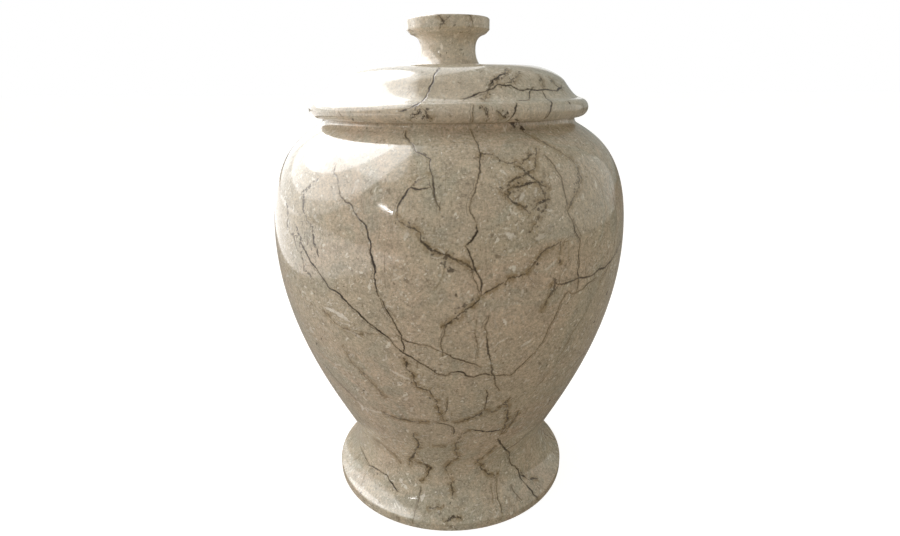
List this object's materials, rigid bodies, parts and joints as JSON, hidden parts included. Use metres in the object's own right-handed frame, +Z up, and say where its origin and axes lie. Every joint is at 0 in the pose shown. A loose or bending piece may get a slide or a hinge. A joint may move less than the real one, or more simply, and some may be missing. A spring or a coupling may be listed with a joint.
{
  "type": "cremation urn",
  "caption": "Turned marble cremation urn: hollow baluster body on a spreading foot, with a domed lift-off lid, beaded rim and turned knob.",
  "frame": {"origin": "centre of the foot's underside, on the axis of turning", "axes": "+Z up along the axis of turning; -Y is the side with the dark network of veins that faces a visitor"},
  "size_m": [0.1952, 0.1952, 0.267],
  "materials": {
    "body_marble": "polished",
    "lid_marble": "polished"
  },
  "bodies": {
    "root": {"urn_body": "body_marble", "lid": "lid_marble"}
  },
  "joints": []
}
